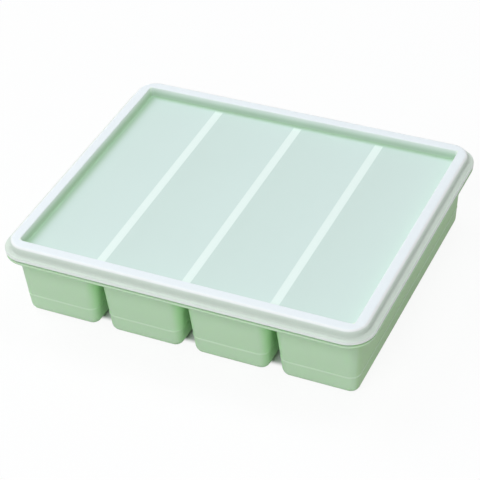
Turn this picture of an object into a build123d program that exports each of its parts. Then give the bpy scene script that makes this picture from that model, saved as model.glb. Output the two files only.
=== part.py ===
"""Silicone freezer tray with a row of long wells, a wire-stiffened rim and a press-on frosted lid.

Millimetres, +Z up. The origin is at the middle of the footprint, on the surface the pods stand on.
X runs along the row of wells and Y along each well.
"""
import math
import os

from build123d import *

# Tray: pods and wells, with plan sizes taken at the surface the pods stand on
well_count = 4
well_pitch = 62.5
pod_gap = 9.6
pod_base_depth = 195.0
pod_corner_radius = 6.0
pod_foot_radius = 5.6
draft_angle = 4.35
tray_wall = 3.2
floor_thickness = 2.4
well_floor_radius = 4.2
fill_line_height = 15.3
fill_line_width = 1.2
fill_line_proud = 0.2

# Tray: flange, dividers and mouth
flange_top = 51.4
flange_thickness = 2.0
flange_edge_radius = 0.7
flange_root_radius = 1.6
divider_web = 2.2
mouth_step = 0.3
mouth_edge_radius = 0.5
bead_edge_radius = 1.2

# Wire inside the rim bead
wire_diameter = 3.0
wire_above_flange = 5.3
wire_cover = 1.0
wire_clearance = 0.05

# Lid: brim, crown and plug
lid_wall = 1.8
brim_width = 3.9
brim_thickness = 2.8
brim_edge_radius = 0.8
groove_radius = 1.4
crown_outer_radius = 3.0
crown_inner_radius = 0.7
channel_radius = 0.8
recess_depth = 7.2
recess_corner_radius = 2.8
recess_foot_radius = 1.0
panel_thickness = 1.8
plug_foot_radius = 0.8

# Lid: sealing ribs under the panel
rib_width = 6.1
rib_depth = 1.2
rib_corner_radius = 1.0
rib_edge_radius = 0.4
rib_end_gap = 2.8

# Fits between the lid and the tray
seat_gap = 1.0
flange_setback = 0.4
bead_side_clearance = 0.3
bead_top_clearance = 0.1
plug_clearance = 0.35
rib_clearance = 0.3

# Largest share of a wall, step or corner that a rounding may take up
rounding_share = 0.95
plate_rounding_share = 0.45

# Two edges this close to one level count as lying on it
level_tolerance = 0.001

# Rim sizes that follow from the wire
wire_height = flange_top + wire_above_flange
bead_width = wire_diameter + 2 * wire_cover
bead_top = wire_height + 0.5 * wire_diameter + wire_cover

# Levels that follow from the bead, downwards from the top of the lid
channel_ceiling = bead_top + bead_top_clearance
lid_top = channel_ceiling + lid_wall
brim_underside = flange_top + seat_gap
brim_top = brim_underside + brim_thickness
panel_top = lid_top - recess_depth
panel_underside = panel_top - panel_thickness
rib_underside = panel_underside - rib_depth
divider_top = rib_underside - rib_clearance
collar_bottom = divider_top - divider_web
flange_underside = flange_top - flange_thickness

# Places along the row of wells
pod_width = well_pitch - pod_gap
row_length = well_count * well_pitch - pod_gap
well_places = [(i - 0.5 * (well_count - 1)) * well_pitch for i in range(well_count)]
divider_places = [x + 0.5 * well_pitch for x in well_places[:-1]]

# How far the drafted faces of the mouth, the plug and the recess lie inside the pods' outer faces
mouth_inset = tray_wall - mouth_step
plug_inset = mouth_inset + plug_clearance
recess_inset = plug_inset + lid_wall

# How far the upright faces of the rim lie outside the mouth
channel_outset = bead_width + bead_side_clearance
crown_outset = channel_outset + lid_wall
brim_outset = crown_outset + brim_width
flange_outset = brim_outset - flange_setback


def draft_growth(height):
    """How far a drafted face has moved outwards at a height above the base."""
    return height * math.tan(math.radians(draft_angle))


def rounded_plan(length, growth, height, corner_radius=None):
    """Rounded rectangle at a height, grown on every side from a base plan one pod deep."""
    corner = corner_radius or pod_corner_radius + growth
    plan = RectangleRounded(length + 2 * growth, pod_base_depth + 2 * growth, corner)
    return Pos(0, 0, height) * plan


def flared_block(length, inset, low, high, corner_radius=None):
    """Block whose sides flare upwards at the draft angle, moved in from the pods' outer faces."""
    plan = rounded_plan(length, draft_growth(low) - inset, low, corner_radius)
    return extrude(plan, amount=high - low, taper=-draft_angle)


def rim_plan(outset, height):
    """Rounded rectangle a given distance outside the mouth, where the mouth passes the flange."""
    return rounded_plan(row_length, draft_growth(flange_top) - mouth_inset + outset, height)


def rim_block(outset, low, high):
    """Upright block on a rim plan."""
    return extrude(rim_plan(outset, low), amount=high - low)


def round_loops(shape, height, radius, count=1):
    """Round the smallest closed loops of edges that lie at a height."""
    edges = shape.edges().filter_by_position(Axis.Z, height - level_tolerance, height + level_tolerance)
    loops = sorted(Wire.combine(edges), key=lambda loop: loop.bounding_box().diagonal)[:count]
    chosen = [edge for edge in edges if min(loop.distance_to(edge @ 0.5) for loop in loops) < level_tolerance]
    return fillet(chosen, radius)


def round_plate(plate, radius, thickness):
    """Round the top and bottom edges of an upright plate."""
    levels = plate.edges().group_by(Axis.Z)
    return fillet(levels[0] + levels[-1], min(radius, plate_rounding_share * thickness))


def wire_loop(diameter):
    """Round bar that follows the middle of the bead as a closed loop."""
    path = rim_plan(0.5 * bead_width, wire_height).wire()
    start = Plane(origin=path @ 0, z_dir=path % 0)
    return sweep(start * Circle(0.5 * diameter), path=path)


def make_pod(centre_x):
    """Outside of one pod, with its rounded foot and its raised fill line."""
    foot_radius = min(pod_foot_radius, rounding_share * pod_corner_radius)
    pod = round_loops(flared_block(pod_width, 0, 0, flange_top), 0, foot_radius)
    line_low = fill_line_height - 0.5 * fill_line_width
    pod += flared_block(pod_width, -fill_line_proud, line_low, line_low + fill_line_width)
    return Pos(centre_x, 0, 0) * pod


def make_well(centre_x):
    """Hollow of one well, from its rounded floor to the level of the divider tops."""
    well = flared_block(pod_width, tray_wall, floor_thickness, divider_top)
    corner_radius = pod_corner_radius + draft_growth(floor_thickness) - tray_wall
    floor_radius = min(well_floor_radius, rounding_share * corner_radius)
    return Pos(centre_x, 0, 0) * round_loops(well, floor_thickness, floor_radius)


def make_tray():
    """One moulding: pods, dividers, flange and bead, with the hollow that the wire fills."""
    tray = flared_block(row_length, 0, collar_bottom, flange_top)
    for x in well_places:
        tray += make_pod(x)
    flange = rim_block(flange_outset, flange_underside, flange_top)
    tray += round_plate(flange, flange_edge_radius, flange_thickness)
    tray += rim_block(bead_width, flange_underside, bead_top)
    tray -= flared_block(row_length, mouth_inset, divider_top, bead_top)
    for x in well_places:
        tray -= make_well(x)
    root_room = flange_underside - collar_bottom
    tray = round_loops(tray, flange_underside, min(flange_root_radius, rounding_share * root_room))
    tray = round_loops(tray, divider_top, min(mouth_edge_radius, rounding_share * mouth_step), well_count)
    tray = round_loops(tray, bead_top, min(bead_edge_radius, plate_rounding_share * bead_width), count=2)
    return tray - wire_loop(wire_diameter + 2 * wire_clearance)


def make_rib(centre_x):
    """Sealing rib under the panel, over one divider, with its lower edges rounded."""
    recess_half_depth = 0.5 * pod_base_depth + draft_growth(panel_top) - recess_inset
    rib_length = 2 * (recess_half_depth - rib_end_gap)
    plan = Pos(centre_x, 0, rib_underside) * RectangleRounded(rib_width, rib_length, rib_corner_radius)
    rib = extrude(plan, amount=rib_depth + 0.5 * panel_thickness)
    return round_loops(rib, rib_underside, min(rib_edge_radius, rounding_share * rib_depth))


def make_lid():
    """One moulding: brim, hollow crown, sunk panel and the ribs under it."""
    brim = round_plate(rim_block(brim_outset, brim_underside, brim_top), brim_edge_radius, brim_thickness)
    crown = rim_block(crown_outset, brim_underside, lid_top)
    shoulder_radius = min(crown_outer_radius, rounding_share * (lid_top - brim_top - groove_radius))
    crown = round_loops(crown, lid_top, shoulder_radius)
    lid = round_loops(brim + crown, brim_top, groove_radius)
    channel = rim_block(channel_outset, brim_underside, channel_ceiling)
    lid -= round_loops(channel, channel_ceiling, channel_radius)
    plug = flared_block(row_length, plug_inset, panel_underside, channel_ceiling + 0.5 * lid_wall)
    lid += round_loops(plug, panel_underside, plug_foot_radius)
    recess = flared_block(row_length, recess_inset, panel_top, lid_top, recess_corner_radius)
    lid -= round_loops(recess, panel_top, min(recess_foot_radius, rounding_share * recess_corner_radius))
    lid = round_loops(lid, lid_top, crown_inner_radius)
    for x in divider_places:
        lid += make_rib(x)
    return lid


os.makedirs("parts", exist_ok=True)
nodes = {"tray": make_tray(), "rim_wire": wire_loop(wire_diameter), "lid": make_lid()}
for name, shape in nodes.items():
    export_step(shape, f"parts/{name}.step")
    print(name, "volume", round(shape.volume, 1), "valid", shape.is_valid)
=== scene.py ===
# %% [markdown]
# # A silicone freezer tray with a frosted lid
# The real thing is two mouldings and a wire. A pale green silicone tray has four long wells in a row,
# a steel wire sealed into its rim keeps it stiff, and a milky lid presses on over the rim.
# The packed CAD model is the frame for everything here. It is loaded first and never moved, so each
# Blender piece can be drawn straight in the frame's metres, with the tray's feet on z = 0.

import math

import bmesh
import bpy
from mathutils import Matrix, Vector


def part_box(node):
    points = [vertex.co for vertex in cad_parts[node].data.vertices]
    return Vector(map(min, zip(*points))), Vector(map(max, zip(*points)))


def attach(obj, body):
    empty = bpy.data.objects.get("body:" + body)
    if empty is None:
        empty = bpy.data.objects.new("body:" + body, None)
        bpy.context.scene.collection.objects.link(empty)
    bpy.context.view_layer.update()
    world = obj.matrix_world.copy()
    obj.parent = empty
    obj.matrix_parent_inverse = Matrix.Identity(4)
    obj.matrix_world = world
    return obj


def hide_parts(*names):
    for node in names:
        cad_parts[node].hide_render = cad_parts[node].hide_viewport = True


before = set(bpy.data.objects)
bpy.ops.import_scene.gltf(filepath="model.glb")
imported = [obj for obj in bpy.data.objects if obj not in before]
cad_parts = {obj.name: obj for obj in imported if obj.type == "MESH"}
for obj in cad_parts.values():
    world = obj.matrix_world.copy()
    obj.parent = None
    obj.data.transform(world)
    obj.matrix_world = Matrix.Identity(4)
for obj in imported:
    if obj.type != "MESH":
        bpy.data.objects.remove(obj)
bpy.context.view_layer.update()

# %% [markdown]
# ## Sizes shared by both mouldings
# Seen from above, every outline on this object is the same rounded rectangle moved in or out: the row of
# pods at table level. So one number, the outset from that row, and one height say where any edge runs.
# The pods' walls lean outwards by the draft that lets silicone leave its mould, so a drafted wall's
# outset grows with its height.

# %% The row of pods and the draft
mm = 0.001
well_pitch = 62.5 * mm
pod_gap = 9.6 * mm
pod_half_width = 0.5 * (well_pitch - pod_gap)
pod_half_depth = 97.5 * mm
pod_corner = 6.0 * mm
draft = math.tan(math.radians(4.35))
well_places = [step * well_pitch for step in (-1.5, -0.5, 0.5, 1.5)]
divider_places = [step * well_pitch for step in (-1, 0, 1)]
row_half_length = well_places[-1] + pod_half_width
print("row is", round(2 * row_half_length / mm, 1), "mm long on the table")

# %% How far the brim and the flange stand out, from the frame
lid_low, lid_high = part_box("lid")
tray_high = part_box("tray")[1]
brim_outset = lid_high.x - row_half_length
flange_outset = tray_high.x - row_half_length
print("brim stands out", round(brim_outset / mm, 2), "mm, flange", round(flange_outset / mm, 2), "mm")

# %% [markdown]
# ## Drawing a moulding ring by ring
# A lathe could turn a round bowl, but these outlines are rectangles, so the profile is carried round them
# with two operators. Inset steps the selected face inwards and a move lifts or lowers it, which gives flat
# and sloping rings. Extrude lifts the face straight up, which gives upright walls.
# Each ring also remembers how far its edge is rounded, as a bevel weight, and one Bevel modifier at the end
# rounds them all. That keeps the drawing sharp and simple while it is being made.

# %% Lay a sheet with round corners
corner_steps = 10


def lay_sheet(name, half_length, outset, height, corner=None):
    """Lay a flat sheet with round corners, and leave its face selected in edit mode."""
    bpy.ops.object.select_all(action="DESELECT")
    bpy.ops.mesh.primitive_plane_add(size=2)
    sheet = bpy.context.object
    sheet.name = name
    sheet.data.name = name
    bpy.ops.object.mode_set(mode="EDIT")
    bpy.ops.mesh.select_mode(type="FACE")
    bpy.ops.transform.resize(value=(half_length + outset, pod_half_depth + outset, 1))
    bpy.ops.transform.translate(value=(0, 0, height))
    bpy.ops.mesh.bevel(offset=corner or pod_corner + outset, segments=corner_steps, affect="VERTICES")
    return sheet


print("each corner is drawn in", corner_steps, "steps")

# %% Carry the sheet's face from ring to ring
widest_rounding = 5.6 * mm


def mark_rounding(radius):
    """Store on the selected edges how far the Bevel modifier will round them."""
    bpy.ops.transform.edge_bevelweight(value=-1)
    bpy.ops.transform.edge_bevelweight(value=radius / widest_rounding)


def draw_rings(start, rings):
    """Carry the selected face from ring to ring, each an outset, a height and a rounding."""
    reach, level = start
    for outset, height, rounding in rings:
        climb = (0, 0, height - level)
        if outset < reach:
            bpy.ops.mesh.inset(thickness=reach - outset)
            bpy.ops.transform.translate(value=climb)
        else:
            bpy.ops.mesh.extrude_region_move(TRANSFORM_OT_translate={"value": climb})
        mark_rounding(rounding)
        reach, level = outset, height


print("roundings go up to", round(widest_rounding / mm, 1), "mm")

# %% [markdown]
# ## Picking faces, joining skins and finishing
# An operator acts on what is selected. By hand one would click the faces. Here they are picked by their
# place and by the way they look, which still works after a size has changed. A moulding that is too
# involved for one chain of rings is drawn as several open skins, which are joined afterwards.
# At the end the marked edges are rounded, and weighted normals keep the flats flat beside the roundings.

# %% Pick faces and open edges
touching = 0.01 * mm
mostly_down = -0.5


def pick_faces(piece, wanted):
    """Select only the faces whose middle and normal pass a test."""
    bpy.ops.mesh.select_mode(type="FACE")
    bpy.ops.mesh.select_all(action="DESELECT")
    shape = bmesh.from_edit_mesh(piece.data)
    for face in shape.faces:
        if wanted(face.calc_center_median(), face.normal):
            face.select_set(True)
    bmesh.update_edit_mesh(piece.data)


def looks_down_at(level):
    """A test for faces that look down at one height."""
    return lambda middle, normal: normal.z < mostly_down and abs(middle.z - level) < touching


def pick_open_edges(piece, level):
    """Select only the open edges that lie at one height."""
    bpy.ops.mesh.select_mode(type="EDGE")
    bpy.ops.mesh.select_all(action="DESELECT")
    shape = bmesh.from_edit_mesh(piece.data)
    for edge in shape.edges:
        if edge.is_boundary and all(abs(point.co.z - level) < touching for point in edge.verts):
            edge.select_set(True)
    bmesh.update_edit_mesh(piece.data)


print("heights count as equal within", round(touching / mm, 3), "mm")

# %% Join skins and finish a moulding
rounding_steps = 5
crease_angle = math.radians(32)


def join_skins(piece, skins):
    """Join open skins to a piece, and go on in edit mode."""
    bpy.ops.object.select_all(action="DESELECT")
    for skin in skins + [piece]:
        skin.select_set(True)
    bpy.context.view_layer.objects.active = piece
    bpy.ops.object.join()
    bpy.ops.object.mode_set(mode="EDIT")


def finish_moulding(piece):
    """Round the marked edges, turn every face outwards and keep the flats looking flat."""
    bpy.ops.mesh.select_all(action="SELECT")
    bpy.ops.mesh.normals_make_consistent(inside=False)
    bpy.ops.object.mode_set(mode="OBJECT")
    rounding = piece.modifiers.new("rounding", "BEVEL")
    rounding.limit_method = "WEIGHT"
    rounding.width = widest_rounding
    rounding.segments = rounding_steps
    rounding.use_clamp_overlap = False
    bpy.ops.object.modifier_apply(modifier="rounding")
    bpy.ops.object.shade_smooth_by_angle(angle=crease_angle)
    flats = piece.modifiers.new("flats", "WEIGHTED_NORMAL")
    flats.keep_sharp = True
    bpy.ops.object.modifier_apply(modifier="flats")
    print(piece.name, len(piece.data.vertices), "points", len(piece.data.polygons), "faces")


print("roundings are drawn in", rounding_steps, "steps")

# %% [markdown]
# ## The lid
# The lid is one thin moulding: a flat brim that sits on the tray's flange, a raised hollow crown that goes
# over the rim bead, and a sunk panel that drops just inside the tray's mouth. It could be a single sheet
# given a thickness, but the brim is thicker than the rest, so the top and the underside are drawn as two
# chains of rings that start from the two faces of the same brim.
# The recess has tighter corners than the crown, which an inset of the crown can't give. So it is a skin of
# its own, and a bridge joins its lip to the crown.

# %% Top of the lid: brim and crown
brim_above_ribs = 1.5 * mm
brim_thickness = 2.8 * mm
brim_width = 3.9 * mm
brim_rounding = 0.8 * mm
groove_rounding = 1.4 * mm
shoulder_rounding = 3.0 * mm
brim_underside = lid_low.z + brim_above_ribs
brim_top = brim_underside + brim_thickness
crown_outset = brim_outset - brim_width
crown_top = lid_high.z

lid_moulding = lay_sheet("lid_moulding", row_half_length, brim_outset, brim_underside)
mark_rounding(brim_rounding)
draw_rings((brim_outset, brim_underside), [
    (brim_outset, brim_top, brim_rounding),
    (crown_outset, brim_top, groove_rounding),
    (crown_outset, crown_top, shoulder_rounding),
])
bpy.ops.mesh.delete(type="ONLY_FACE")
bpy.ops.object.mode_set(mode="OBJECT")
print("crown stands", round((crown_top - brim_top) / mm, 2), "mm above the brim")

# %% The recess with its tighter corners, bridged to the crown
recess_depth = 7.2 * mm
recess_inset = 5.05 * mm
recess_corner = 2.8 * mm
lip_rounding = 0.7 * mm
recess_foot_rounding = 1.0 * mm
panel_top = crown_top - recess_depth
panel_outset = draft * panel_top - recess_inset
lip_outset = draft * crown_top - recess_inset
lip_corner = recess_corner + draft * recess_depth

recess_skin = lay_sheet("recess_skin", row_half_length, lip_outset, crown_top, lip_corner)
mark_rounding(lip_rounding)
draw_rings((lip_outset, crown_top), [(panel_outset, panel_top, recess_foot_rounding)])
bpy.ops.object.mode_set(mode="OBJECT")
join_skins(lid_moulding, [recess_skin])
pick_open_edges(lid_moulding, crown_top)
bpy.ops.mesh.bridge_edge_loops()
print("panel is", round(2 * (row_half_length + panel_outset) / mm, 1), "mm long")

# %% Underside of the lid: channel for the bead, and the plug
lid_wall = 1.8 * mm
outer_rounding = 0.4 * mm
inner_rounding = 0.8 * mm
channel_outset = crown_outset - lid_wall
channel_ceiling = crown_top - lid_wall
panel_underside = panel_top - lid_wall
plug_inset = recess_inset - lid_wall

pick_faces(lid_moulding, looks_down_at(brim_underside))
draw_rings((brim_outset, brim_underside), [
    (channel_outset, brim_underside, outer_rounding),
    (channel_outset, channel_ceiling, inner_rounding),
    (draft * channel_ceiling - plug_inset, channel_ceiling, outer_rounding),
    (draft * panel_underside - plug_inset, panel_underside, inner_rounding),
])
print("channel is", round((channel_ceiling - brim_underside) / mm, 2), "mm deep")

# %% [markdown]
# ## The sealing ribs
# Under the panel a rib runs over each divider, so that one well cannot spill into the next. From above the
# ribs show as pale stripes. They could be bars pushed into the panel, but then the lid would be four shells.
# So their outlines are cut into the panel's own underside with bisect and drawn down, and the lid stays one
# closed skin.

# %% Cut the ribs' outlines
rib_half_width = 3.05 * mm
rib_end_gap = 2.8 * mm
rib_half_length = pod_half_depth + panel_outset - rib_end_gap
under_panel = looks_down_at(panel_underside)


def over_divider(middle, normal):
    """True for the faces under the panel that lie over a divider."""
    return under_panel(middle, normal) and min(abs(middle.x - x) for x in divider_places) < rib_half_width


for x in divider_places:
    for side in (-1, 1):
        pick_faces(lid_moulding, under_panel)
        bpy.ops.mesh.bisect(plane_co=(x + side * rib_half_width, 0, 0), plane_no=(1, 0, 0))
for side in (-1, 1):
    pick_faces(lid_moulding, over_divider)
    bpy.ops.mesh.bisect(plane_co=(0, side * rib_half_length, 0), plane_no=(0, 1, 0))
print("ribs are", round(2 * rib_half_length / mm, 1), "mm long")

# %% Draw the ribs down and finish the lid
rib_depth = 1.2 * mm
rib_rounding = 0.4 * mm


def in_rib(middle, normal):
    """True for those of them that also lie between the ribs' ends."""
    return over_divider(middle, normal) and abs(middle.y) < rib_half_length


pick_faces(lid_moulding, in_rib)
bpy.ops.mesh.extrude_region_move(TRANSFORM_OT_translate={"value": (0, 0, -rib_depth)})
mark_rounding(rib_rounding)
finish_moulding(lid_moulding)

# %% [markdown]
# ## The tray's rim
# The rim is a flat flange with an upright bead on it. The wire runs inside the bead. The rim starts as a
# sheet like the lid's brim. Its upper face becomes the bead and the mouth wall, its lower face becomes the
# short collar that the pods hang from, and both end in an open hole for the next step.
# Its heights follow from the lid: the brim sits just above the flange, and the ribs just above the dividers.

# %% Upper side of the rim: flange, bead and mouth wall
seat_gap = 1.0 * mm
rib_clearance = 0.3 * mm
flange_thickness = 2.0 * mm
flange_width = 5.6 * mm
mouth_inset = 2.9 * mm
flange_rounding = 0.7 * mm
bead_foot_rounding = 0.4 * mm
bead_rounding = 1.2 * mm
flange_top = brim_underside - seat_gap
flange_underside = flange_top - flange_thickness
divider_top = lid_low.z - rib_clearance
bead_outset = flange_outset - flange_width
bead_top = tray_high.z

tray_moulding = lay_sheet("tray_moulding", row_half_length, flange_outset, flange_underside)
mark_rounding(flange_rounding)
draw_rings((flange_outset, flange_underside), [
    (flange_outset, flange_top, flange_rounding),
    (bead_outset, flange_top, bead_foot_rounding),
    (bead_outset, bead_top, bead_rounding),
    (draft * bead_top - mouth_inset, bead_top, bead_rounding),
    (draft * divider_top - mouth_inset, divider_top, 0.0),
])
bpy.ops.mesh.delete(type="ONLY_FACE")
print("bead stands", round((bead_top - flange_top) / mm, 2), "mm above the flange")

# %% Underside of the rim: the collar
divider_web = 2.2 * mm
collar_proud = 0.3 * mm
collar_rounding = 0.9 * mm
collar_bottom = divider_top - divider_web

pick_faces(tray_moulding, looks_down_at(flange_underside))
draw_rings((flange_outset, flange_underside), [
    (draft * flange_underside + collar_proud, flange_underside, collar_rounding),
    (draft * collar_bottom + collar_proud, collar_bottom, 0.0),
])
bpy.ops.mesh.delete(type="ONLY_FACE")
bpy.ops.object.mode_set(mode="OBJECT")
print("collar ends", round(collar_bottom / mm, 1), "mm above the table")

# %% [markdown]
# ## One pod and one well
# A pod is the outside of a well. It is drawn downwards from the collar, because inset only goes inwards and
# the draft makes a pod narrower towards its foot. The thin raised line round it is a band of its wall pushed
# out along its normals. The well's inside is drawn the same way from its own lip.

# %% Outside of one pod
fill_line_height = 15.3 * mm
fill_line_width = 1.2 * mm
fill_line_proud = 0.2 * mm
fill_line_rounding = 0.18 * mm
fill_line_foot = fill_line_height - 0.5 * fill_line_width
fill_line_top = fill_line_height + 0.5 * fill_line_width

pod_skin = lay_sheet("pod_skin", pod_half_width, draft * collar_bottom, collar_bottom)
draw_rings((draft * collar_bottom, collar_bottom), [
    (draft * fill_line_top, fill_line_top, 0.0),
    (draft * fill_line_foot, fill_line_foot, 0.0),
    (0.0, 0.0, widest_rounding),
])
bpy.ops.mesh.select_all(action="SELECT")
bpy.ops.mesh.flip_normals()
pick_faces(pod_skin, lambda middle, normal: fill_line_foot < middle.z < fill_line_top)
bpy.ops.mesh.extrude_region_shrink_fatten(TRANSFORM_OT_shrink_fatten={"value": fill_line_proud})
bpy.ops.mesh.region_to_loop()
mark_rounding(fill_line_rounding)
bpy.ops.object.mode_set(mode="OBJECT")
print("pod is", round(2 * pod_half_width / mm, 1), "mm wide on the table")

# %% Inside of one well
well_inset = 3.2 * mm
well_lip_width = 0.2 * mm
well_lip_rounding = 0.15 * mm
well_floor_rounding = 2.8 * mm
floor_top = 2.4 * mm
well_outset = draft * divider_top - well_inset

well_skin = lay_sheet("well_skin", pod_half_width, well_outset + well_lip_width, divider_top)
draw_rings((well_outset + well_lip_width, divider_top), [
    (well_outset, divider_top, well_lip_rounding),
    (draft * floor_top - well_inset, floor_top, well_floor_rounding),
])
bpy.ops.object.mode_set(mode="OBJECT")
print("well is", round((divider_top - floor_top) / mm, 1), "mm deep")

# %% [markdown]
# ## Joining the tray into one skin
# The pod and the well are copied along the row, each copy with its own mesh, and joined to the rim.
# Two flat gaps are left: the divider tops, between the mouth wall and the four lips, and the roof over the
# gaps between the pods, between the collar and the four pods. Fill closes a flat face with holes in it.

# %% Copy along the row
def copies_along_row(piece):
    """Stand a piece at the first place in the row, and copies of it at the others."""
    row = [piece]
    for _ in well_places[1:]:
        bpy.ops.object.select_all(action="DESELECT")
        piece.select_set(True)
        bpy.context.view_layer.objects.active = piece
        bpy.ops.object.duplicate(linked=False)
        row.append(bpy.context.object)
    for copy, x in zip(row, well_places):
        copy.location.x = x
    return row


pods = copies_along_row(pod_skin)
wells = copies_along_row(well_skin)
print(len(pods), "pods and", len(wells), "wells")

# %% Join, close and finish the tray
join_skins(tray_moulding, pods + wells)
for level in (divider_top, collar_bottom):
    pick_open_edges(tray_moulding, level)
    bpy.ops.mesh.fill(use_beauty=True)
finish_moulding(tray_moulding)

# %% [markdown]
# ## Writing shader maths as Python
# A material is a small program of nodes. Wiring each node by hand hides the sum that it stands for, so one
# class wraps a socket and lets plain operators add the Math nodes. Any other node comes from one method that
# takes the node's type, its settings and its inputs.

# %% The socket class
class Signal:
    """One output socket of a material, usable in a sum."""

    def __init__(self, tree, socket):
        self.tree = tree
        self.socket = socket

    def node(self, kind, settings, inputs, result=0):
        """Add any node: its settings are set first, then the values or links of its sockets."""
        made = self.tree.nodes.new(kind)
        for name, value in settings.items():
            setattr(made, name, value)
        for name, value in inputs.items():
            if isinstance(value, Signal):
                self.tree.links.new(value.socket, made.inputs[name])
            else:
                made.inputs[name].default_value = value
        return Signal(self.tree, made.outputs[result])

    def to(self, shader, name):
        """Link to one input of a shader."""
        self.tree.links.new(self.socket, shader.inputs[name])

    def maths(self, operation, first, second=0.0):
        return self.node("ShaderNodeMath", {"operation": operation}, {0: first, 1: second})

    def __add__(self, other):
        return self.maths("ADD", self, other)

    def __sub__(self, other):
        return self.maths("SUBTRACT", self, other)

    def __rsub__(self, other):
        return self.maths("SUBTRACT", other, self)

    def __mul__(self, other):
        return self.maths("MULTIPLY", self, other)

    def __abs__(self):
        return self.maths("ABSOLUTE", self)

    __radd__ = __add__
    __rmul__ = __mul__

    def larger(self, other):
        """The larger of two numbers."""
        return self.maths("MAXIMUM", self, other)

    def smaller(self, other):
        """The smaller of two numbers."""
        return self.maths("MINIMUM", self, other)

    def fraction(self):
        """What a number has beyond the last whole one, so that it starts again at each."""
        return self.maths("FRACT", self)

    def fade(self, low, high):
        """0 below low, 1 above high and a soft step between."""
        limits = {"Value": self, "From Min": low, "From Max": high}
        return self.node("ShaderNodeMapRange", {"interpolation_type": "SMOOTHSTEP"}, limits)

    def band(self, low, high, soft):
        """1 from low to high, with a soft step down on both sides."""
        return self.fade(low - soft, low) * (1 - self.fade(high, high + soft))

    def axis(self, letter):
        """One number of a vector."""
        return self.node("ShaderNodeSeparateXYZ", {}, {0: self}, letter)

    def stretched(self, x, y, z):
        """This vector with each axis scaled."""
        return self.node("ShaderNodeVectorMath", {"operation": "MULTIPLY"}, {0: self, 1: (x, y, z)})

    def grain(self, scale, detail=2.0):
        """Noise between 0 and 1 on this vector, with its scale in cells per metre."""
        return self.node("ShaderNodeTexNoise", {}, {"Vector": self, "Scale": scale, "Detail": detail})

    def tint(self, under, over):
        """Mix two colours, with this number as the share of the second."""
        return self.node("ShaderNodeMix", {"data_type": "RGBA"}, {0: self, 6: under, 7: over}, 2)

    def bump(self, strength, depth):
        """The normal of a surface that has this number as its height."""
        return self.node("ShaderNodeBump", {}, {"Strength": strength, "Distance": depth, "Height": self})


print("operators", sorted(name for name in vars(Signal) if name.startswith("__r")))

# %% Colours, and the start of a material
def paint(red, green, blue):
    """A colour as a screen shows it, 0 to 255, in the linear numbers that shaders use."""
    shares = [value / 255 for value in (red, green, blue)]
    return tuple(s / 12.92 if s < 0.04045 else ((s + 0.055) / 1.055) ** 2.4 for s in shares) + (1.0,)


def start_finish(name, constants):
    """A new material, its shader with the constant sockets set, and the Object coordinates."""
    finish = bpy.data.materials.new(name)
    finish.use_nodes = True
    shader = finish.node_tree.nodes["Principled BSDF"]
    for socket, value in constants.items():
        shader.inputs[socket].default_value = value
    place = Signal(finish.node_tree, None).node("ShaderNodeTexCoord", {}, {}, "Object")
    return finish, shader, place


print("mid grey in linear numbers", [round(value, 3) for value in paint(128, 128, 128)[:3]])

# %% [markdown]
# ## Green silicone
# Silicone is matt and slightly waxy: light goes a little way in, so its edges look soft. A flat green would
# look like card. Here the green drifts slowly over the moulding and a fine grain from the mould's blasted
# steel breaks up the shine. Masks then follow the moulding's own shape and paint light and shade into the
# green: painted highlights make the raised line and the flange's edge paler, painted light bounced up from
# the floor makes the feet lighter, and painted shade gives a deep green where they meet the table. The end
# walls get a deeper, warmer green as painted shade, and the gaps a stronger green as painted light bouncing
# from pod to pod.

# %% Start the silicone
silicone, silicone_shader, place = start_finish("green_silicone", {
    "IOR": 1.41,
    "Subsurface Weight": 0.3,
    "Subsurface Radius": (0.6, 1.0, 0.5),
    "Subsurface Scale": 2.0 * mm,
    "Specular IOR Level": 0.1,
})
sideways = place.axis("X")
lengthways = place.axis("Y")
height = place.axis("Z")
print("silicone starts with", len(silicone.node_tree.nodes), "nodes")

# %% Find the raised line and the flange's edge
line_soft = 0.25 * mm
flange_line_foot = flange_top - 0.9 * mm
flange_line_top = flange_top - 0.6 * mm
flange_soft = 0.4 * mm
mouth_margin = 1.0 * mm
mouth_outset = draft * flange_top - mouth_inset

on_line = height.band(fill_line_foot, fill_line_top, line_soft)
past_ends = abs(sideways) - (row_half_length + mouth_outset)
past_sides = abs(lengthways) - (pod_half_depth + mouth_outset)
outside_mouth = past_ends.larger(past_sides).fade(mouth_margin, 2 * mouth_margin)
on_flange = outside_mouth * height.band(flange_line_foot, flange_line_top, flange_soft)
print("mouth lies", round(mouth_outset / mm, 2), "mm outside the row")

# %% Find the gaps, the feet and the end walls
gap_core = 2.5 * mm
gap_reach = 9.0 * mm
gap_roof_fade = 4.0 * mm
foot_light_from = 6.0 * mm
foot_light_to = 22.0 * mm
contact_from = 0.3 * mm
contact_to = 3.2 * mm
end_wall_from = row_half_length - 2.5 * mm
end_wall_to = row_half_length - 0.5 * mm

in_gap = sum(1 - abs(sideways - x).fade(gap_core, gap_reach) for x in divider_places)
in_gap = in_gap * (1 - height.fade(collar_bottom - gap_roof_fade, collar_bottom))
on_foot = 1 - height.fade(foot_light_from, foot_light_to)
at_table = 1 - height.fade(contact_from, contact_to)
on_end_wall = (abs(sideways) - height * draft).fade(end_wall_from, end_wall_to)
print("gaps are tinted up to", round(collar_bottom / mm, 1), "mm above the table")

# %% Mix the greens
drift_cells = 14.0
mottle_cells = 160.0
deep_green = paint(202, 232, 197)
pale_green = paint(206, 235, 201)
# The foot colour is painted light: the lower part of each pod is lighter for light bounced up from the
# floor.
floor_bounce_green = paint(212, 242, 207)
# The end-wall colour is painted shade, a deeper and warmer green on both end walls.
end_wall_shade_green = paint(199, 232, 187)
# The table colour is painted shade: a deep green where the feet meet the table.
contact_shade_green = paint(178, 224, 168)
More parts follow.
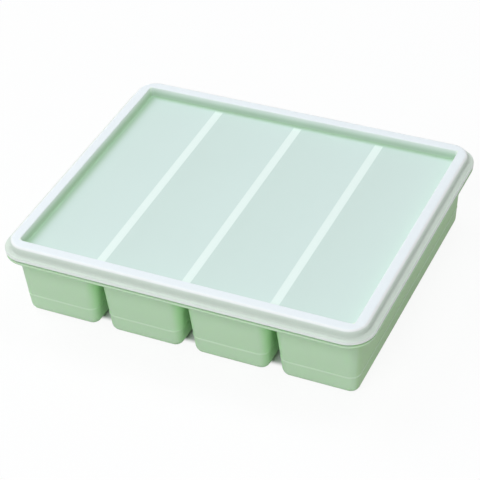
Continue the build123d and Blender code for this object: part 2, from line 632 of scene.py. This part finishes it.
# The gap colour is painted light: a stronger green for the light that bounces from pod to pod.
gap_bounce_green = paint(188, 238, 178)
# The line colour is a painted highlight on the raised line, left out in the gaps.
line_highlight_green = paint(219, 244, 215)
# The flange colour is a painted highlight on the flange's edge.
flange_highlight_green = paint(212, 240, 207)

drift = place.grain(drift_cells, detail=3.0)
mottle = place.grain(mottle_cells, detail=4.0)
green = (drift * 0.7 + mottle * 0.3).tint(deep_green, pale_green)
for share, colour in (
    (on_foot * 0.75, floor_bounce_green),
    (on_end_wall, end_wall_shade_green),
    (at_table, contact_shade_green),
    (in_gap * 0.9, gap_bounce_green),
    (on_line * (1 - in_gap), line_highlight_green),
    (on_flange, flange_highlight_green),
):
    green = share.tint(green, colour)
green.to(silicone_shader, "Base Color")
print("silicone has", len(silicone.node_tree.nodes), "nodes with its greens")

# %% Shine and grain of the silicone
least_roughness = 0.52
roughness_spread = 0.1
blasted_cells = 2600.0
blasted_strength = 0.12
blasted_depth = 0.06 * mm

(least_roughness + mottle * roughness_spread).to(silicone_shader, "Roughness")
blasted = place.grain(blasted_cells, detail=2.0)
blasted.bump(blasted_strength, blasted_depth).to(silicone_shader, "Normal")
print("silicone has", len(silicone.node_tree.nodes), "nodes in all")

# %% [markdown]
# ## Frosted lid
# The lid is milky plastic. Where it stands clear of the tray, on the crown, it is nearly white with a cold
# cast. The panel is thin and close over the green tray, so a mint green shows through it, and the three ribs
# are thicker and stay pale. In each bay the mint is painted paler from left to right, as painted light from
# the left reaching the far side of the well below, and along the left and back walls a painted soft shade
# deepens it. The recess walls, the ledge and the groove carry painted shade, the crown's shoulder a painted
# highlight, and the brim's lower edge along the two long sides a painted shade with the flange's green in
# it.
# Real transparency would be noisy and slow to render, so the green that shows through, and this painted
# light and shade, are masks in Object coordinates that follow the lid's own shape.

# %% Start the lid's plastic
frosted, frosted_shader, place = start_finish("frosted_plastic", {
    "IOR": 1.49,
    "Subsurface Weight": 0.15,
    "Subsurface Radius": (1.0, 1.0, 1.0),
    "Subsurface Scale": 3.0 * mm,
    "Specular IOR Level": 0.45,
})
sideways = place.axis("X")
lengthways = place.axis("Y")
height = place.axis("Z")
print("lid starts with", len(frosted.node_tree.nodes), "nodes")

# %% Find the recess and its walls
lip_within = 0.2 * mm
lip_beyond = 0.4 * mm
end_wall_soft = 1.0 * mm
wall_start = panel_top + 0.1 * mm
wall_full = panel_top + 0.9 * mm
paler_from = panel_top + 1.65 * mm
paler_to = crown_top - 0.3 * mm
lip_half_length = row_half_length + lip_outset
lip_half_depth = pod_half_depth + lip_outset
panel_half_length = row_half_length + panel_outset
panel_half_depth = pod_half_depth + panel_outset

past_lip_ends = abs(sideways).fade(lip_half_length - lip_within, lip_half_length + lip_beyond)
past_lip_sides = abs(lengthways).fade(lip_half_depth - lip_within, lip_half_depth + lip_beyond)
in_recess = (1 - past_lip_ends) * (1 - past_lip_sides)
on_wall = height.fade(wall_start, wall_full)
up_wall = height.fade(paler_from, paler_to)
on_end_wall = abs(sideways).fade(panel_half_length - end_wall_soft, panel_half_length)
print("recess lip is", round(2 * lip_half_length / mm, 1), "mm long")

# %% Find the ribs and the shade along two walls
rib_within = 0.4 * mm
rib_beyond = 0.3 * mm
rib_end_soft = 0.5 * mm
left_shade = 9.0 * mm
back_shade = 6.0 * mm

stripes = sum(
    1 - abs(sideways - x).fade(rib_half_width - rib_within, rib_half_width + rib_beyond)
    for x in divider_places
)
past_ribs = abs(lengthways).fade(rib_half_length - rib_end_soft, rib_half_length + rib_end_soft)
over_rib = stripes * (1 - past_ribs)
by_left_wall = 1 - sideways.fade(-panel_half_length, left_shade - panel_half_length)
by_back_wall = lengthways.fade(panel_half_depth - back_shade, panel_half_depth)
wall_shade = by_left_wall.larger(by_back_wall)
print("stripes are", round(2 * rib_half_width / mm, 1), "mm wide")

# %% Mix the panel
cloud_cells = 18.0
flow_cells = 420.0
flow_stretch = 0.12
deep_mint = paint(211, 230, 223)
pale_mint = paint(219, 238, 233)
rib_white = paint(239, 255, 249)
wall_shade_green = paint(178, 214, 180)

cloud = place.grain(cloud_cells, detail=3.0)
flow = place.stretched(1.0, flow_stretch, 1.0).grain(flow_cells, detail=3.0)
across_bay = (sideways * (1 / well_pitch)).fraction()
# In each bay the mint is painted paler from left to right: painted light from the left reaching the far side
# of the well below.
panel = (across_bay * 0.72 + cloud * 0.22 + flow * 0.06).tint(deep_mint, pale_mint)
panel = over_rib.tint(panel, rib_white)
# Painted shade along the left and back walls deepens the mint there.
panel = (wall_shade * (0.3 + wall_shade * 0.6)).tint(panel, wall_shade_green)
print("lid has", len(frosted.node_tree.nodes), "nodes with its panel")

# %% Mix the walls of the recess: the tray's green shows through, painted shade darkens them towards the foot, and the end walls are painted lighter than the long walls
long_wall = up_wall.tint(paint(191, 215, 194), paint(236, 246, 240))
end_wall = up_wall.tint(paint(198, 227, 196), paint(241, 254, 241))
recess = on_wall.tint(panel, on_end_wall.tint(long_wall, end_wall))
print("lid has", len(frosted.node_tree.nodes), "nodes with its recess")

# %% Mix the brim and the crown, from the brim's edge upwards
edge_white = paint(249, 255, 250)
# The ledge colour is painted shade from the crown beside it, with the flange's green showing through the
# thin brim.
ledge_shade_grey = paint(217, 227, 217)
# The groove colour, carried up the crown's outer wall, is painted shade, with the bead's green showing
# through.
groove_shade_grey = paint(219, 231, 220)
# The shoulder colour is a painted highlight along the crown's outer rounding.
shoulder_highlight_white = paint(252, 255, 255)
crown_white = paint(244, 251, 255)

rim = edge_white
for low, high, colour in (
    (brim_top - 0.7 * mm, brim_top - 0.1 * mm, ledge_shade_grey),
    (brim_top + 0.6 * mm, brim_top + 1.6 * mm, groove_shade_grey),
    (crown_top - 1.7 * mm, crown_top - 0.6 * mm, shoulder_highlight_white),
    (crown_top - 0.4 * mm, crown_top - 0.05 * mm, crown_white),
):
    rim = height.fade(low, high).tint(rim, colour)
print("lid has", len(frosted.node_tree.nodes), "nodes with its rim")

# %% Paint shade and the flange's reflected green onto the brim's lower edge along the long sides, and lay the recess into the rim
seam_shade_green = paint(176, 206, 170)
seam_full = brim_underside + 0.1 * mm
seam_top = brim_underside + 0.9 * mm
seam_end = row_half_length + brim_outset - 1.0 * mm

seam = 1 - height.fade(seam_full, seam_top)
seam = seam * (1 - abs(sideways).fade(row_half_length, seam_end))
rim = seam.tint(rim, seam_shade_green)
in_recess.tint(rim, recess).to(frosted_shader, "Base Color")
print("lid has", len(frosted.node_tree.nodes), "nodes with all its colours")

# %% Shine and frost of the lid
least_roughness = 0.4
roughness_spread = 0.12
frost_cells = 3200.0
frost_strength = 0.1
frost_depth = 0.05 * mm

(least_roughness + flow * roughness_spread).to(frosted_shader, "Roughness")
frost = place.grain(frost_cells, detail=2.0)
frost.bump(frost_strength, frost_depth).to(frosted_shader, "Normal")
print("lid has", len(frosted.node_tree.nodes), "nodes in all")

# %% [markdown]
# ## Drawn steel wire
# The wire is hidden inside the bead, but the model can be cut open, so it gets a finish too: bright steel
# with the faint marks that a drawing die leaves. The CAD shape is right, so only its material changes.

# %% The wire's finish
least_roughness = 0.24
roughness_spread = 0.16
mark_cells = 900.0
mark_strength = 0.15
mark_depth = 0.02 * mm
dull_cells = 60.0
dull_steel = paint(176, 178, 182)
bright_steel = paint(206, 208, 211)

steel, steel_shader, place = start_finish("drawn_steel", {"Metallic": 1.0})
marks = place.grain(mark_cells, detail=3.0)
dull = place.grain(dull_cells, detail=2.0)
(marks * 0.6 + dull * 0.4).tint(dull_steel, bright_steel).to(steel_shader, "Base Color")
(least_roughness + marks * roughness_spread).to(steel_shader, "Roughness")
marks.bump(mark_strength, mark_depth).to(steel_shader, "Normal")
print("steel has", len(steel.node_tree.nodes), "nodes")

# %% [markdown]
# ## Dressing the frame
# Each moulding gets its finish, takes the place of its CAD node and rides on that node's body, so the lid
# lifts off with its joint while the tray and its wire stay.

# %% Give out the finishes and tie the pieces to their bodies
for moulding, finish, node, body, slot in (
    (tray_moulding, silicone, "tray", "tray_body", "tray_silicone"),
    (lid_moulding, frosted, "lid", "lid_body", "lid_frosted"),
):
    moulding.data.materials.clear()
    moulding.data.materials.append(finish)
    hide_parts(node)
    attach(moulding, body)
rim_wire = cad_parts["rim_wire"]
for material_slot in rim_wire.material_slots:
    material_slot.material = steel

# %% [markdown]
# ## Camera
# The photograph looks down on the front right corner through a long lens, slightly turned. The camera
# circles the middle of the brim: an azimuth, a height angle and a roll give its axes, and a small slide
# along its own right and up puts the object where the photograph has it.

# %% The camera's axes
azimuth = math.radians(27.29)
elevation = math.radians(38.30)
roll = math.radians(-4.27)

level_back = Vector((math.sin(azimuth), -math.cos(azimuth), 0))
level_right = Vector((math.cos(azimuth), math.sin(azimuth), 0))
back = math.cos(elevation) * level_back + math.sin(elevation) * Vector((0, 0, 1))
level_up = back.cross(level_right)
right = math.cos(roll) * level_right + math.sin(roll) * level_up
up = math.cos(roll) * level_up - math.sin(roll) * level_right
print("camera looks along", [round(-value, 3) for value in back])

# %% Place the camera
camera_distance = 1191.2 * mm
slide_right = 2.63 * mm
slide_up = 24.21 * mm
picture_width = 480
focal_pixels = 1746.2
sensor_width = 36.0
nearest_seen = 10.0 * mm
brim_middle = Vector((0, 0, brim_underside))
stand = brim_middle - slide_right * right - slide_up * up + camera_distance * back

bpy.ops.object.camera_add()
camera = bpy.context.object
camera.name = "photo_camera"
camera.matrix_world = Matrix.Translation(stand) @ Matrix((right, up, back)).transposed().to_4x4()
camera.data.sensor_width = sensor_width
camera.data.lens = sensor_width * focal_pixels / picture_width
camera.data.clip_start = nearest_seen
bpy.context.scene.camera = camera
print("camera stands at", [round(value, 3) for value in stand], "lens", round(camera.data.lens, 1))

# %% [markdown]
# ## Floor and light
# The photograph is a soft studio picture on white. A wide floor keeps a faint shadow round the tray. It
# looks white because camera rays, and the rays that shiny things send back, see a glow of its own, while it
# lights the tray only as pale paper would. Under the tray it does not glow, so the gaps between the pods
# stay dark. Three large soft lamps stand round the tray: a key lamp at the left, one in front and one high
# at the back. The sky fills what they leave.

# %% Which rays see the white background
def sees_background(tree):
    """1 for rays from the camera and for those that metal or glass sends on."""
    start = Signal(tree, None)
    names = ("Is Camera Ray", "Is Glossy Ray", "Is Transmission Ray")
    return sum(start.node("ShaderNodeLightPath", {}, {}, name) for name in names).smaller(1.0)


bpy.context.scene.view_settings.view_transform = "Standard"
print("colours are shown as", bpy.context.scene.view_settings.view_transform)

# %% The floor
floor_side = 8.0
floor_drop = 0.1 * mm
paper_grey = 0.78
glow_strength = 1.03
glow_share = 0.88
dark_within = -13.0 * mm
glow_beyond = -8.0 * mm

bpy.ops.object.select_all(action="DESELECT")
bpy.ops.mesh.primitive_plane_add(size=floor_side, location=(0, 0, -floor_drop))
floor = bpy.context.object
floor.name = "floor"
paper, paper_shader, ground = start_finish("pale_paper", {
    "Base Color": (paper_grey, paper_grey, paper_grey, 1.0),
    "Roughness": 0.9,
    "Specular IOR Level": 0.0,
})
floor.data.materials.append(paper)
past_ends = abs(ground.axis("X")) - row_half_length
past_sides = abs(ground.axis("Y")) - pod_half_depth
open_floor = past_ends.larger(past_sides).fade(dark_within, glow_beyond)
glow = ground.node("ShaderNodeEmission", {}, {"Strength": glow_strength})
plain = Signal(paper.node_tree, paper_shader.outputs["BSDF"])
share = sees_background(paper.node_tree) * open_floor * glow_share
lit = ground.node("ShaderNodeMixShader", {}, {0: share, 1: plain, 2: glow})
lit.to(paper.node_tree.nodes["Material Output"], "Surface")
print("floor has", len(paper.node_tree.nodes), "nodes")

# %% The sky
sky_fill = 0.3
sky = bpy.data.worlds.new("soft_sky")
bpy.context.scene.world = sky
sky.use_nodes = True
sky_shader = sky.node_tree.nodes["Background"]
sky_shader.inputs["Color"].default_value = (1, 1, 1, 1)
(sky_fill + (1 - sky_fill) * sees_background(sky.node_tree)).to(sky_shader, "Strength")
print("sky has", len(sky.node_tree.nodes), "nodes")

# %% The lamps
lamp_colour = (0.95, 0.98, 1.0)


def soft_lamp(name, place, size, watts):
    """A square soft lamp that faces the tray."""
    bpy.ops.object.light_add(type="AREA", location=place)
    lamp = bpy.context.object
    lamp.name = name
    lamp.data.size = size
    lamp.data.energy = watts
    lamp.data.color = lamp_colour
    aim = brim_middle - Vector(place)
    lamp.rotation_euler = aim.to_track_quat("-Z", "Y").to_euler()


soft_lamp("key_lamp", place=(-1.48, 0.4, 1.6), size=1.2, watts=14.7)
soft_lamp("front_lamp", place=(0.05, -1.45, 1.7), size=1.0, watts=18.8)
soft_lamp("back_lamp", place=(0.47, 0.8, 2.05), size=0.8, watts=8.7)

# %% [markdown]
# The dressed model may not outgrow the CAD model.
